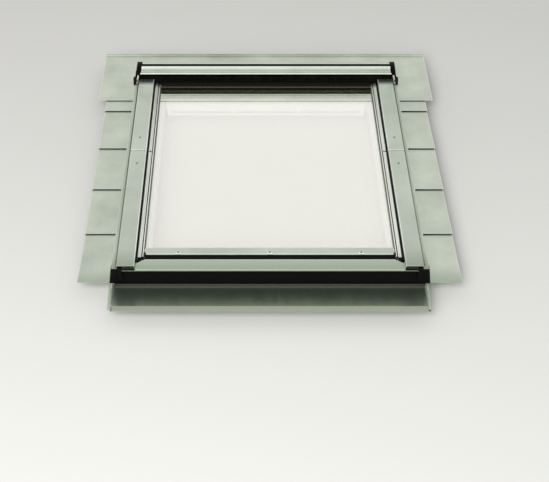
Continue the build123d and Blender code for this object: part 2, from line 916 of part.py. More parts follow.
def mounting_brackets():
    """Steel brackets on the right-hand jamb, each with two screw holes in its flange."""
    underside = roof_level - bracket_drop
    with BuildPart() as pair:
        for middle in (-half_length + bracket_from_end, half_length - bracket_from_end):
            with BuildSketch(along(middle + bracket_length / 2)):
                sheet_face(
                    [(half_width, underside + bracket_leg), (half_width, underside),
                     (half_width + bracket_flange, underside)],
                    bracket_sheet, Side.LEFT, bracket_sheet * 1.5,
                )
            extrude(amount=bracket_length)
            with BuildSketch(from_above(underside)):
                with Locations((half_width + bracket_hole_inset, middle + centre_y)):
                    with GridLocations(1, bracket_hole_pitch, 1, 2):
                        Circle(bracket_hole_radius)
            extrude(amount=bracket_sheet, mode=Mode.SUBTRACT)
    return pair.part


def pivot_hinge():
    """Right-hand pivot hinge: a plate on the jamb and a plate on the stile, joined by a pin."""
    centre = slope(cover_joint, sash_front - hinge_drop)
    with BuildPart() as hinge:
        for face_x in (sash_half, frame_inner - hinge_plate):
            with BuildSketch(across(face_x)):
                with Locations(centre):
                    SlotOverall(hinge_length, hinge_height)
            extrude(amount=hinge_plate)
        with BuildSketch(across(sash_half)):
            with Locations(centre):
                Circle(hinge_pin_radius)
        extrude(amount=running_gap)
    return hinge.part


def ventilation_flap():
    """Painted flap across the room side of the sash's top rail."""
    flap_high = inner_pane_back - flap_clearance
    with BuildPart() as flap:
        with BuildSketch(across(-flap_half)) as section:
            polygon_face(
                slope(top_rail_inner, flap_low), slope(flap_face, flap_low),
                slope(flap_face, flap_high), slope(top_rail_inner, flap_high),
            )
            fillet(section.vertices().group_by(Axis.Y)[0], timber_edge_radius)
        extrude(amount=2 * flap_half)
    return flap.part


def control_bar():
    """Flat bar along the flap, carried by evenly spaced bent brackets."""
    bracket_top = flap_low + bar_bracket_lift
    pitch = (2 * bar_half - bar_bracket_width) / (bar_brackets - 1)
    with BuildPart() as bar:
        with BuildSketch(across(-bar_half)) as section:
            with Locations(slope(bar_y, bar_z)):
                Rectangle(bar_width, bar_depth)
            fillet(section.vertices(), bar_depth / 3)
        extrude(amount=2 * bar_half)
        for index in range(bar_brackets):
            with BuildSketch(across(-bar_half + index * pitch)):
                polygon_face(
                    slope(bar_y, bar_z + bar_depth / 2 - bar_bracket_lap),
                    slope(bar_y + bar_width / 2, bar_z),
                    slope(flap_face, bracket_top - bar_bracket_sheet * 2),
                    slope(flap_face, bracket_top),
                    slope(flap_face - bar_bracket_sheet, bracket_top),
                )
            extrude(amount=bar_bracket_width)
    return bar.part


def sash_lock():
    """Latch plate between the top rail and the frame's head, in the running gap."""
    with BuildPart() as lock:
        with BuildSketch(from_above(sash_front - lock_drop)):
            with Locations((0, sash_end + running_gap / 2 + centre_y)):
                Rectangle(lock_width, running_gap)
        extrude(amount=lock_height)
        chamfer(lock.edges().filter_by(Axis.Z), lock_chamfer)
    return lock.part


# Timber
keep_pair(frame_jamb(), "frame_jamb")
keep(frame_rail(frame_inner_end, half_length), "frame_head")
keep(frame_rail(-frame_inner_end, -half_length), "frame_sill")
keep_pair(sash_stile(), "sash_stile")
keep(sash_rail(sash_end, top_rail_inner, rebate_high), "sash_top_rail")
keep(sash_rail(-sash_end, bottom_rail_inner, rebate_low), "sash_bottom_rail")

# Glass
keep(pane(outer_pane_back, outer_pane_thickness), "outer_pane")
keep(pane(inner_pane_back, inner_pane_thickness), "inner_pane")
keep(glass_spacer(), "glass_spacer")
keep(glazing_bead(), "glazing_bead")

# Cladding
keep_pair(Compound(cut_at_joint(sash_strip(), strip_inner, strip_outer)), "sash_strips")
lower_cover, upper_cover = cut_at_joint(side_cover(), cover_inner, cover_outer)
keep_pair(lower_cover, "side_cover_lower")
keep_pair(upper_cover, "side_cover_upper")
keep_pair(carriers(), "cover_carriers")
keep_pair(outer_trim(), "outer_trim")
keep_pair(corner_cap(), "corner_cap")
keep(bottom_cover(), "bottom_cover")
keep(sash_bottom_profile(), "sash_bottom_profile")
keep(sash_top_profile(), "sash_top_profile")
keep(sill_profile(), "sill_profile")

# Hood
keep(hood(), "hood")
keep_pair(hood_end(), "hood_end")
keep_pair(hood_cheek(), "hood_cheek")
keep(vent_housing(), "vent_housing")

# Flashing
keep(apron(), "apron")
keep_pair(soakers(), "soakers")
keep(head_flashing(), "head_flashing")

# Fittings
keep_pair(mounting_brackets(), "mounting_brackets")
keep_pair(pivot_hinge(), "pivot_hinge")
keep(ventilation_flap(), "ventilation_flap")
keep(control_bar(), "control_bar")
keep(sash_lock(), "sash_lock")
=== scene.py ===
"""Looks of the venting skylight: finishes, small fittings, floor, light and camera, in metres."""
import json
import math

import bmesh
import bpy
from mathutils import Matrix, Vector


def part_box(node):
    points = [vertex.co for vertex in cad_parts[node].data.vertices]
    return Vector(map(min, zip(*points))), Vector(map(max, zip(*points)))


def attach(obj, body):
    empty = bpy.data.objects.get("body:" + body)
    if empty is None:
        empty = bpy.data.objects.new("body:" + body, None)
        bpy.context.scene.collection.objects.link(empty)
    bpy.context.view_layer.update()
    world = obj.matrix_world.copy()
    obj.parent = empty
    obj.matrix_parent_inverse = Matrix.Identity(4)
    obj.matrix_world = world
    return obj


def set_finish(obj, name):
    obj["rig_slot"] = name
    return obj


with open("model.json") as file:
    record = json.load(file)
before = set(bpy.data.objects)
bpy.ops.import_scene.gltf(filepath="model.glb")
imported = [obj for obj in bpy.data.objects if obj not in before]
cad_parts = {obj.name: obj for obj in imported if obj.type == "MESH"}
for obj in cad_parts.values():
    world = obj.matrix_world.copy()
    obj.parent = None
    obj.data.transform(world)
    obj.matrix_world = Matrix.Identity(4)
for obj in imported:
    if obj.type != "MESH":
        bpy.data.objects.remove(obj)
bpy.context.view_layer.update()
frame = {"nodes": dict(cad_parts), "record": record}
bpy.context.scene.view_settings.view_transform = "Standard"

MM = 0.001

# Ways that faces look: outwards, inwards, down and up the slope, and across
UP, DOWN = Vector((0, 0, 1)), Vector((0, 0, -1))
FRONT, BACK = Vector((0, -1, 0)), Vector((0, 1, 0))
LEFT = Vector((-1, 0, 0))

# How far small pieces stay off what they lie on and lie beside
SEATED = 0.05 * MM
CLEAR = 0.1 * MM

# Places read from the frame
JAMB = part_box("frame_jamb_right")
FRAME_MIDDLE_Y = (JAMB[0].y + JAMB[1].y) / 2
FRAME_TOP = JAMB[1].z
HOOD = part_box("hood")
HOOD_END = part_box("hood_end_right")
SASH_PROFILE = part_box("sash_bottom_profile")
TOP_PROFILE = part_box("sash_top_profile")
GLASS_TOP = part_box("outer_pane")[1].z
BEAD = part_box("glazing_bead")
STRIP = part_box("sash_strips_right")
BOTTOM_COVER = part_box("bottom_cover")
SIDE_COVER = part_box("side_cover_lower_right")
UPPER_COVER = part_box("side_cover_upper_right")
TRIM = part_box("outer_trim_right")
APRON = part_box("apron")

# The bead's own width, because its box spans the whole ring
BEAD_WIDTH = 3.5 * MM

# Radius to which the folds of the coated sheets look rounded
SHEET_FOLD = 1.1 * MM

# The photograph's camera, in metres and radians
CAMERA_X = -0.0714
CAMERA_Y_FROM_FRAME = -3.9218
CAMERA_Z = 2.6342
LOOK_DOWN = math.radians(36.02)
LENS_SENSOR = 36.0
PHOTO_WIDTH = 549
FOCAL_PIXELS = 1391.7
CENTRE_PIXEL_X = 246.2

# The floor, the sky's light, the sky as it is seen and as it is mirrored, and the lamp
FLOOR_SIZE = 60
FLOOR_GREY = (0.62, 0.62, 0.6)
SKY_LIGHT = (1.0, 0.99, 0.97)
SKY_STRENGTH = 0.56
SEEN_SKY = (0.95, 0.945, 0.93)
MIRRORED_SKY = (1.0, 0.985, 0.96)
LAMP_PLACE = Vector((-1.4, -6.0, 4.2))
LAMP_SIZE = 4.5
LAMP_WATTS = 640

# How much brighter than the rest the sky in front of the sill is where metal and glass mirror it,
# and the slants towards the front between which it brightens
FRONT_SKY = 1.25
FRONT_SLANTS = (-0.2, -0.75)

# Colours of the coated sheets, and of the shade and highlights painted on them, linear
COATED_GREY_GREEN = (0.445, 0.498, 0.430)
TRIM_GREY_GREEN = (0.355, 0.405, 0.335)
FLASHING_GREY_GREEN = (0.53, 0.59, 0.51)
# A lighter copy of the coated grey-green: painted highlight on narrow folds, hems and strips
EDGE_GREY_GREEN = (0.57, 0.63, 0.55)
# Bronze of the sash's upper profile, darkened as painted shade of the hood, and lighter on its edge as a
# painted highlight
HOOD_SHADE_BRONZE = (0.026, 0.021, 0.014)
HIGHLIGHT_BRONZE = (0.085, 0.066, 0.040)
# Dark grey painted shade on the apron's ridge below the sill
RIDGE_SHADE_GREY = (0.115, 0.115, 0.09)
# Brown painted shade, for corners and creases and below the sill
BROWN_PAINTED_SHADE = (0.075, 0.07, 0.05)
DEEP_SHADE = (0.04, 0.045, 0.04)

# What is left of a sheet's red, green and blue in the painted shade at the covers' lower ends
LOW_END_SHADE_SHARES = (0.50, 0.56, 0.47)

# Colours of timber paint, white coat, plastics, rubber and metal, linear
WHITE_PAINT = (0.76, 0.76, 0.73)
GRAIN_PAINT = (0.66, 0.63, 0.55)
EDGE_PAINT = (0.86, 0.85, 0.8)
WHITE_COAT = (0.86, 0.86, 0.84)
DULL_COAT = (0.82, 0.82, 0.79)
EDGE_COAT = (0.92, 0.92, 0.9)
BLACK_MOULDED = (0.0024, 0.0024, 0.002)
BROWN_MOULDED = (0.035, 0.021, 0.012)
BLACK_RUBBER = (0.005, 0.005, 0.0045)
GREY_SEAL = (0.13, 0.135, 0.10)
# Lighter painted shade for the right cover seam
LIGHT_SEAM_SHADE = (0.27, 0.29, 0.22)
SETTLED_DUST = (0.08, 0.077, 0.07)
WORN_PLASTIC = (0.05, 0.05, 0.047)
ZINC = (0.60, 0.61, 0.60)
BRIGHT_ZINC = (0.8, 0.8, 0.78)
CLIP_ZINC = (0.78, 0.77, 0.72)
COATED_SCREW = (0.42, 0.46, 0.39)
DARK_SCREW = (0.06, 0.055, 0.045)
BROWN_SCREW = (0.16, 0.085, 0.035)
SPACER_GREEN = (0.10, 0.17, 0.08)
HOLE_BLACK = (0.008, 0.008, 0.008)

# How much each face of a pane mirrors: seen straight on, at these slants, and edge on
GLASS_SLANTS = (0.2, 0.3, 0.42, 0.5, 0.7)
OUTER_MIRROR = (0.06, 0.12, 0.24, 0.50, 0.56, 0.72)
INNER_MIRROR = (0.02, 0.02, 0.02, 0.03, 0.04, 0.12)
EDGE_ON_MIRROR = 0.95

# Tints of what a pane mirrors, of what is seen through it, and of the daylight that it lets in
MIRROR_TINT = (1.0, 0.992, 0.978)
CLEAR_TINT = (0.98, 0.985, 0.97)
DAYLIGHT_TINT = (0.96, 0.965, 0.955)

# The lower ends of the covers are painted darker and greener, as shade, between these places up the slope
LOW_END_SHADE_FROM_Y = BOTTOM_COVER[1].y + 42 * MM
LOW_END_SHADE_TO_Y = BOTTOM_COVER[0].y + 11.5 * MM

# The wide covers get painted shade of the hood from here up the slope, and are painted lighter just below it
HOOD_LIGHT_FROM_Y = HOOD[0].y - 122 * MM
HOOD_SHADE_FROM_Y = HOOD[0].y - 42 * MM
HOOD_SHADE_TO_Y = HOOD[0].y - 16 * MM

# The apron's upper fold gets painted shade below the sill, down to here
SHADE_FROM_Y = APRON[1].y - 14 * MM
SHADE_TO_Y = APRON[1].y - 11 * MM

# The side covers are painted a little darker towards the sill, between these places
SILL_DARK_FROM_Y = FRAME_MIDDLE_Y - 0.20
SILL_DARK_TO_Y = FRAME_MIDDLE_Y - 0.45


# Camera, floor and light

def place_camera():
    """The camera of the photograph: it looks up the slope, with a small sideways shift."""
    data = bpy.data.cameras.new("photo_camera")
    data.sensor_width = LENS_SENSOR
    data.lens = FOCAL_PIXELS * LENS_SENSOR / PHOTO_WIDTH
    data.shift_x = (PHOTO_WIDTH / 2 - CENTRE_PIXEL_X) / PHOTO_WIDTH
    camera = bpy.data.objects.new("photo_camera", data)
    bpy.context.scene.collection.objects.link(camera)
    camera.location = (CAMERA_X, FRAME_MIDDLE_Y + CAMERA_Y_FROM_FRAME, CAMERA_Z)
    camera.rotation_euler = (math.pi / 2 - LOOK_DOWN, 0, 0)
    bpy.context.scene.camera = camera


def pale_floor():
    """A plain pale floor under the part."""
    bpy.ops.object.select_all(action="DESELECT")
    bpy.ops.mesh.primitive_plane_add(size=FLOOR_SIZE, location=(0, 0, 0))
    floor = bpy.context.object
    floor.name = "floor"
    material, _, shader = new_finish("floor_pale")
    shader.inputs["Base Color"].default_value = (*FLOOR_GREY, 1)
    shader.inputs["Roughness"].default_value = 0.9
    floor.data.materials.append(material)


def soft_light():
    """An even pale sky and one large soft lamp in front of the sill."""
    world = bpy.data.worlds.new("soft_sky")
    bpy.context.scene.world = world
    world.use_nodes = True
    tree = world.node_tree
    lighting = tree.nodes["Background"]
    lighting.inputs["Color"].default_value = (*SKY_LIGHT, 1)
    lighting.inputs["Strength"].default_value = SKY_STRENGTH
    seen = add(tree, "Background", {"Color": (*SEEN_SKY, 1), "Strength": 1.0})
    towards = add(tree, "SeparateXYZ", {0: add(tree, "TexCoord").outputs["Generated"]}).outputs["Y"]
    brightened = spread(tree, towards, *FRONT_SLANTS, 1.0, FRONT_SKY)
    mirrored = add(tree, "Background", {"Color": (*MIRRORED_SKY, 1), "Strength": brightened})
    path = add(tree, "LightPath")
    shiny = mix_shaders(tree, path.outputs["Is Glossy Ray"], lighting, mirrored)
    mix = mix_shaders(tree, path.outputs["Is Camera Ray"], shiny, seen)
    tree.links.new(mix.outputs[0], tree.nodes["World Output"].inputs["Surface"])
    lamp = bpy.data.lights.new("sky_lamp", "AREA")
    lamp.shape = "DISK"
    lamp.size = LAMP_SIZE
    lamp.energy = LAMP_WATTS
    holder = bpy.data.objects.new("sky_lamp", lamp)
    bpy.context.scene.collection.objects.link(holder)
    holder.location = LAMP_PLACE
    holder.visible_glossy = False
    holder.rotation_euler = (-LAMP_PLACE).to_track_quat("-Z", "Y").to_euler()


# Nodes that the finishes share

def add(tree, kind, inputs=None, **settings):
    """Adds a node, with its settings, and its sockets as numbers or as links."""
    node = tree.nodes.new("ShaderNode" + kind)
    for name, value in settings.items():
        setattr(node, name, value)
    for socket, value in (inputs or {}).items():
        if isinstance(value, bpy.types.NodeSocket):
            tree.links.new(value, node.inputs[socket])
        else:
            node.inputs[socket].default_value = value
    return node


def new_finish(name):
    """A new material with its tree and its main shader."""
    material = bpy.data.materials.new(name)
    material.use_nodes = True
    return material, material.node_tree, material.node_tree.nodes["Principled BSDF"]


def object_place(tree):
    """The place on the object, in metres, that patterns follow."""
    return add(tree, "TexCoord").outputs["Object"]


def cloud(tree, place, size, stretch=(1, 1, 1), detail=4.0):
    """A noise whose patches are about as large as size, in metres, before they are stretched."""
    turned = add(tree, "Mapping", {"Vector": place, "Scale": [1 / share for share in stretch]})
    return add(tree, "TexNoise", {"Vector": turned.outputs[0], "Scale": 1 / size, "Detail": detail,
                                  "Roughness": 0.6}).outputs["Fac"]


def spread(tree, value, low, high, to_low, to_high):
    """Carries a value from one range to another, held at its ends."""
    return add(tree, "MapRange", {"Value": value, "From Min": low, "From Max": high, "To Min": to_low,
                                  "To Max": to_high}).outputs["Result"]


def times(tree, first, second):
    """Multiplies two values."""
    return add(tree, "Math", {0: first, 1: second}, operation="MULTIPLY").outputs[0]


def blend_colour(tree, share, first, second):
    """Blends two colours by a share from 0 to 1."""
    mix = add(tree, "Mix", data_type="RGBA")
    for socket, value in ((0, share), (6, first), (7, second)):
        if isinstance(value, bpy.types.NodeSocket):
            tree.links.new(value, mix.inputs[socket])
        else:
            mix.inputs[socket].default_value = value if socket == 0 else (*value, 1)
    return mix.outputs[2]


def mix_shaders(tree, share, first, second):
    """Mixes two shaders by a share from 0 to 1."""
    return add(tree, "MixShader", {"Fac": share, 1: first.outputs[0], 2: second.outputs[0]})


def scaled(colour, share, most=1.0):
    """A colour made darker or lighter by a share, up to a limit."""
    return tuple(min(part * share, most) for part in colour)


def rounded_normal(tree, radius):
    """The normal with every fold rounded, and how near a fold is, from 0 to 1."""
    rounded = add(tree, "Bevel", {"Radius": radius}, samples=6).outputs[0]
    plain = add(tree, "NewGeometry").outputs["Normal"]
    facing = add(tree, "VectorMath", {0: rounded, 1: plain}, operation="DOT_PRODUCT").outputs["Value"]
    return rounded, spread(tree, facing, 0.995, 0.9, 0.0, 1.0)


def relief(tree, height, strength, depth, normal):
    """Raises a pattern on a normal, to a depth in metres."""
    return add(tree, "Bump", {"Height": height, "Strength": strength, "Distance": depth,
                              "Normal": normal}).outputs[0]


def link_finish(tree, shader, tone, dullness, normal):
    """Gives the main shader its colour, roughness and relief."""
    tree.links.new(tone, shader.inputs["Base Color"])
    tree.links.new(dullness, shader.inputs["Roughness"])
    tree.links.new(normal, shader.inputs["Normal"])


# Finishes

def coated_sheet(name, colour, metal=0.4, gloss=0.32, crease_shade=0.45, mottled=0.08, fold_highlight=0.8, waved=0.10,
                 shaded=0.0, hood_shade=0.0, sill_dark=0.0):
    """Satin coated metal sheet: fine grain, faint runs down the slope, painted highlights on the folds,
    painted shade in corners.
    """
    material, tree, shader = new_finish(name)
    place = object_place(tree)
    normal = rounded_normal(tree, SHEET_FOLD)[0]
    near_fold = rounded_normal(tree, 4 * SHEET_FOLD)[1]
    patches = cloud(tree, place, 0.16)
    runs = cloud(tree, place, 0.012, stretch=(1, 22, 1), detail=3.0)
    flakes = cloud(tree, place, 0.0012, detail=2.0)
    ripple = cloud(tree, place, 0.035, stretch=(1, 2.5, 1), detail=1.0)
    darker, lighter = scaled(colour, 1 - 2 * mottled), scaled(colour, 1 + mottled)
    tone = blend_colour(tree, spread(tree, patches, 0.3, 0.7, 0, 1), darker, lighter)
    tone = blend_colour(tree, spread(tree, runs, 0.45, 0.75, 0, 0.22), tone, lighter)
    tone = blend_colour(tree, spread(tree, flakes, 0.35, 0.65, 0, 0.16), tone, darker)
    # Painted shade in corners and creases, where occlusion is high, in patches
    closed = add(tree, "AmbientOcclusion", {"Distance": 12 * MM}, samples=6).outputs["AO"]
    corner = times(tree, spread(tree, closed, 0.5, 0.15, 0, crease_shade), spread(tree, patches, 0.3, 0.6, 0.6, 1))
    tone = blend_colour(tree, corner, tone, BROWN_PAINTED_SHADE)
    up_slope = add(tree, "SeparateXYZ", {0: place}).outputs["Y"]
    # Painted shade: the covers' lower ends darker and greener, in patches
    low_end_shade = spread(tree, up_slope, LOW_END_SHADE_FROM_Y, LOW_END_SHADE_TO_Y, 0, 0.85)
    low_end_shade = times(tree, low_end_shade, spread(tree, patches, 0.25, 0.75, 0.75, 1))
    tone = blend_colour(tree, low_end_shade, tone, tuple(part * share for part, share in zip(colour, LOW_END_SHADE_SHARES)))
    # Painted highlight along the folds, weaker towards the covers' lower ends
    fold_highlight_share = spread(tree, up_slope, LOW_END_SHADE_FROM_Y, LOW_END_SHADE_TO_Y, fold_highlight, 0.3 * fold_highlight)
    tone = blend_colour(tree, times(tree, near_fold, fold_highlight_share), tone, scaled(colour, 1.75, most=0.92))
    tone = painted_slope_bands(tree, tone, up_slope, colour, shaded, hood_shade, sill_dark)
    shader.inputs["Metallic"].default_value = metal
    dullness = spread(tree, runs, 0.3, 0.7, gloss - 0.04, gloss + 0.06)
    rippled = relief(tree, ripple, waved, 2 * MM, normal)
    link_finish(tree, shader, tone, dullness, relief(tree, flakes, 0.10, 0.3 * MM, rippled))
    return material


def painted_slope_bands(tree, tone, up_slope, colour, shaded, hood_shade, sill_dark):
    """Painted bands along the slope: shade below the sill, light and then shade below the hood, and a darker
    sheet towards the sill.
    """
    hood_light = 1.0 if hood_shade else 0.0
    bands = ((SHADE_FROM_Y, SHADE_TO_Y, shaded, BROWN_PAINTED_SHADE),
             (HOOD_LIGHT_FROM_Y, HOOD_SHADE_FROM_Y, hood_light, scaled(colour, 1.3)),
             (HOOD_SHADE_FROM_Y, HOOD_SHADE_TO_Y, hood_shade, DEEP_SHADE),
             (SILL_DARK_FROM_Y, SILL_DARK_TO_Y, sill_dark, scaled(colour, 0.5)))
    for start, end, share, band_colour in bands:
        if share:
            tone = blend_colour(tree, spread(tree, up_slope, start, end, 0, share), tone, band_colour)
    return tone


def painted_timber(name, along_x):
    """White paint on planed pine: the grain shows through faintly along the member."""
    material, tree, shader = new_finish(name)
    place = object_place(tree)
    normal, near_edge = rounded_normal(tree, 1.5 * MM)
    stretch = (30, 1, 1) if along_x else (1, 30, 1)
    fibres = cloud(tree, place, 0.0035, stretch=stretch, detail=5.0)
    rings = cloud(tree, place, 0.02, stretch=stretch, detail=2.0)
    rolled = cloud(tree, place, 0.0016, detail=1.0)
    tone = blend_colour(tree, spread(tree, rings, 0.35, 0.7, 0, 0.7), WHITE_PAINT, scaled(WHITE_PAINT, 0.90))
    tone = blend_colour(tree, spread(tree, fibres, 0.55, 0.8, 0, 0.35), tone, GRAIN_PAINT)
    tone = blend_colour(tree, times(tree, near_edge, 0.25), tone, EDGE_PAINT)
    dullness = spread(tree, rings, 0.3, 0.7, 0.34, 0.46)
    fibred = relief(tree, fibres, 0.22, 0.5 * MM, normal)
    link_finish(tree, shader, tone, dullness, relief(tree, rolled, 0.10, 0.3 * MM, fibred))
    return material


def moulded(name, colour, gloss, texture, dust=0.10):
    """Plastic or rubber with a fine moulded texture, worn folds and a little dust on what faces up."""
    material, tree, shader = new_finish(name)
    place = object_place(tree)
    normal, near_fold = rounded_normal(tree, 0.8 * MM)
    pits = cloud(tree, place, texture, detail=2.0)
    patches = cloud(tree, place, 0.05)
    facing_up = add(tree, "SeparateXYZ", {0: add(tree, "NewGeometry").outputs["Normal"]}).outputs["Z"]
    settled = times(tree, spread(tree, facing_up, 0.5, 1.0, 0, dust), spread(tree, patches, 0.4, 0.7, 0, 1))
    tone = blend_colour(tree, settled, colour, SETTLED_DUST)
    tone = blend_colour(tree, times(tree, near_fold, 0.12), tone, WORN_PLASTIC)
    shader.inputs["Specular IOR Level"].default_value = 0.09
    dullness = spread(tree, patches, 0.3, 0.7, gloss - 0.06, gloss + 0.06)
    link_finish(tree, shader, tone, dullness, relief(tree, pits, 0.25, 0.25 * MM, normal))
    return material


def zinc_steel(name, colour, gloss, spangle=0.006):
    """Zinc plated steel: small spangles, fine brushing and brighter folds."""
    material, tree, shader = new_finish(name)
    place = object_place(tree)
    normal, near_fold = rounded_normal(tree, 0.5 * MM)
    flowers = add(tree, "TexVoronoi", {"Vector": place, "Scale": 1 / spangle}).outputs["Color"]
    shade = add(tree, "SeparateColor", {0: flowers}).outputs[0]
    brushed = cloud(tree, place, 0.0008, stretch=(1, 18, 1), detail=2.0)
    tone = blend_colour(tree, spread(tree, shade, 0, 1, 0, 0.6), colour, scaled(colour, 0.72))
    tone = blend_colour(tree, times(tree, near_fold, 0.3), tone, BRIGHT_ZINC)
    shader.inputs["Metallic"].default_value = 0.9
    dullness = spread(tree, shade, 0, 1, gloss - 0.05, gloss + 0.08)
    link_finish(tree, shader, tone, dullness, relief(tree, brushed, 0.12, 0.2 * MM, normal))
    return material


def white_coat(name):
    """White coated aluminium with a slight orange peel."""
    material, tree, shader = new_finish(name)
    place = object_place(tree)
    normal, near_fold = rounded_normal(tree, 0.7 * MM)
    peel = cloud(tree, place, 0.0022, detail=1.5)
    patches = cloud(tree, place, 0.08)
    tone = blend_colour(tree, spread(tree, patches, 0.3, 0.7, 0, 1), WHITE_COAT, DULL_COAT)
    tone = blend_colour(tree, times(tree, near_fold, 0.3), tone, EDGE_COAT)
    dullness = spread(tree, patches, 0.3, 0.7, 0.24, 0.34)
    link_finish(tree, shader, tone, dullness, relief(tree, peel, 0.08, 0.4 * MM, normal))
    return material


def dark_spacer(name):
    """Dark anodised spacer bar with a row of fine breathing holes."""
    material, tree, shader = new_finish(name)
    place = object_place(tree)
    dots = add(tree, "TexVoronoi", {"Vector": place, "Scale": 260, "Randomness": 0.0}).outputs["Distance"]
    tone = blend_colour(tree, spread(tree, dots, 0.22, 0.28, 1, 0), SPACER_GREEN, HOLE_BLACK)
    tree.links.new(tone, shader.inputs["Base Color"])
    shader.inputs["Metallic"].default_value = 0.7
    grained = cloud(tree, place, 0.002)
    tree.links.new(spread(tree, grained, 0.3, 0.7, 0.38, 0.5), shader.inputs["Roughness"])
    return material


def coated_glass(name, levels):
    """Clear pane: the flatter the look, the more it mirrors, and daylight passes through it."""
    material = bpy.data.materials.new(name)
    material.use_nodes = True
    tree = material.node_tree
    tree.nodes.clear()
    output = add(tree, "OutputMaterial")
    slant = add(tree, "LayerWeight", {"Blend": 0.5}).outputs["Facing"]
    share = add(tree, "ValToRGB", {"Fac": slant})
    ramp = share.color_ramp
    ramp.elements[0].color = (levels[0], levels[0], levels[0], 1)
    ramp.elements[1].color = (EDGE_ON_MIRROR, EDGE_ON_MIRROR, EDGE_ON_MIRROR, 1)
    for position, level in zip(GLASS_SLANTS, levels[1:]):
        ramp.elements.new(position).color = (level, level, level, 1)
    drawn = cloud(tree, object_place(tree), 0.5, detail=0.5)
    wavy = add(tree, "Bump", {"Height": drawn, "Strength": 0.12, "Distance": 4 * MM}).outputs[0]
    mirror = add(tree, "BsdfGlossy", {"Color": (*MIRROR_TINT, 1), "Roughness": 0.02, "Normal": wavy})
    clear = add(tree, "BsdfTransparent", {"Color": (*CLEAR_TINT, 1)})
    pane = mix_shaders(tree, share.outputs["Color"], clear, mirror)
    path = add(tree, "LightPath")
    lit = add(tree, "Math", {0: path.outputs["Is Shadow Ray"], 1: path.outputs["Is Diffuse Ray"]},
              operation="MAXIMUM").outputs[0]
    daylight = add(tree, "BsdfTransparent", {"Color": (*DAYLIGHT_TINT, 1)})
    both = mix_shaders(tree, lit, pane, daylight)
    tree.links.new(both.outputs[0], output.inputs["Surface"])
    return material


# Modelling steps that the fittings share

def around(middle, half):
    """The range that reaches half to both sides of a middle."""
    return middle - half, middle + half


def name_new(name):
    """Names the primitive just added and puts its place, turn and size into its mesh."""
    piece = bpy.context.object
    piece.name = name
    piece.data.name = name
    bpy.ops.object.transform_apply(location=True, rotation=True, scale=True)
    return piece


def block(name, across, along, up):
    """A box primitive that fills three ranges: across, up the slope, and outwards."""
    low, high = (Vector(corner) for corner in zip(across, along, up))
    bpy.ops.object.select_all(action="DESELECT")
    bpy.ops.mesh.primitive_cube_add(size=1, location=(low + high) / 2)
    bpy.context.object.scale = high - low
    return name_new(name)


def disc(name, foot, radius, height, sides=32):
    """An upright round primitive that stands on its foot."""
    bpy.ops.object.select_all(action="DESELECT")
    middle = foot + Vector((0, 0, height / 2))
    bpy.ops.mesh.primitive_cylinder_add(vertices=sides, radius=radius, depth=height, location=middle)
    return name_new(name)


def pick_faces(piece, look=None, where=None):
    """Goes into edit mode and selects faces: all, or those that look one way and pass a test of place."""
    bpy.context.view_layer.objects.active = piece
    bpy.ops.object.mode_set(mode="EDIT")
    bpy.ops.mesh.select_mode(type="FACE")
    bpy.ops.mesh.select_all(action="DESELECT")
    mesh = bmesh.from_edit_mesh(piece.data)
    for face in mesh.faces:
        looks_so = look is None or face.normal.dot(look) > 0.9
        face.select_set(looks_so and (where is None or where(face.calc_center_median())))
    bmesh.update_edit_mesh(piece.data)


def leave_edit():
    """Goes back to object mode."""
    bpy.ops.object.mode_set(mode="OBJECT")


def move_faces(piece, look, move, where=None):
    """Moves faces, so that the ones beside them slant."""
    pick_faces(piece, look, where)
    bpy.ops.transform.translate(value=move)
    leave_edit()


def scale_faces(piece, look, shares, centre, where=None):
    """Scales faces about a centre, so that the ones beside them slant."""
    pick_faces(piece, look, where)
    bpy.ops.transform.resize(value=shares, center_override=centre)
    leave_edit()


def extrude_faces(piece, look, move, where=None):
    """Draws faces out of the piece."""
    pick_faces(piece, look, where)
    bpy.ops.mesh.extrude_region_move(TRANSFORM_OT_translate={"value": move})
    leave_edit()


def step_down(piece, look, rim, drop):
    """Insets faces and draws them down inside the rim: a dish in a top, a foot below a base."""
    pick_faces(piece, look)
    bpy.ops.mesh.inset(thickness=rim)
    bpy.ops.mesh.extrude_region_move(TRANSFORM_OT_translate={"value": (0, 0, -drop)})
    leave_edit()


def raise_top(piece, rim, rise):
    """Insets the top and lifts it inside the rim, as a low dome."""
    pick_faces(piece, UP)
    bpy.ops.mesh.inset(thickness=rim)
    bpy.ops.transform.translate(value=(0, 0, rise))
    leave_edit()


def cut_through(piece, place, across):
    """Divides the piece's faces along a plane."""
    pick_faces(piece)
    bpy.ops.mesh.bisect(plane_co=place, plane_no=across)
    leave_edit()


def wedge(name, across, along, up, thin_end, share):
    """A block whose height shrinks to a share of it towards one end."""
    piece = block(name, across, along, up)
    scale_faces(piece, thin_end, (1, 1, share), (0, 0, up[0]))
    return piece


def apply_modifier(piece, kind, **settings):
    """Adds a modifier with its settings and applies it."""
    bpy.context.view_layer.objects.active = piece
    modifier = piece.modifiers.new(kind.lower(), kind)
    for name, value in settings.items():
        setattr(modifier, name, value)
    bpy.ops.object.modifier_apply(modifier=modifier.name)


def select_only(piece):
    """Selects one piece and makes it the active one."""
    bpy.ops.object.select_all(action="DESELECT")
    piece.select_set(True)
    bpy.context.view_layer.objects.active = piece


def dress(piece, finish, rounding=0.0, segments=2):
    """Rounds the edges, smooths the faces, and gives the piece its finish, slot and body."""
    select_only(piece)
    if rounding:
        apply_modifier(piece, "BEVEL", width=rounding, segments=segments, limit_method="ANGLE")
    bpy.ops.object.shade_smooth_by_angle(angle=math.radians(35))
    piece.data.materials.append(FINISHES[finish])
    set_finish(piece, SLOT_OF.get(finish, finish))
    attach(piece, "root")
    return piece


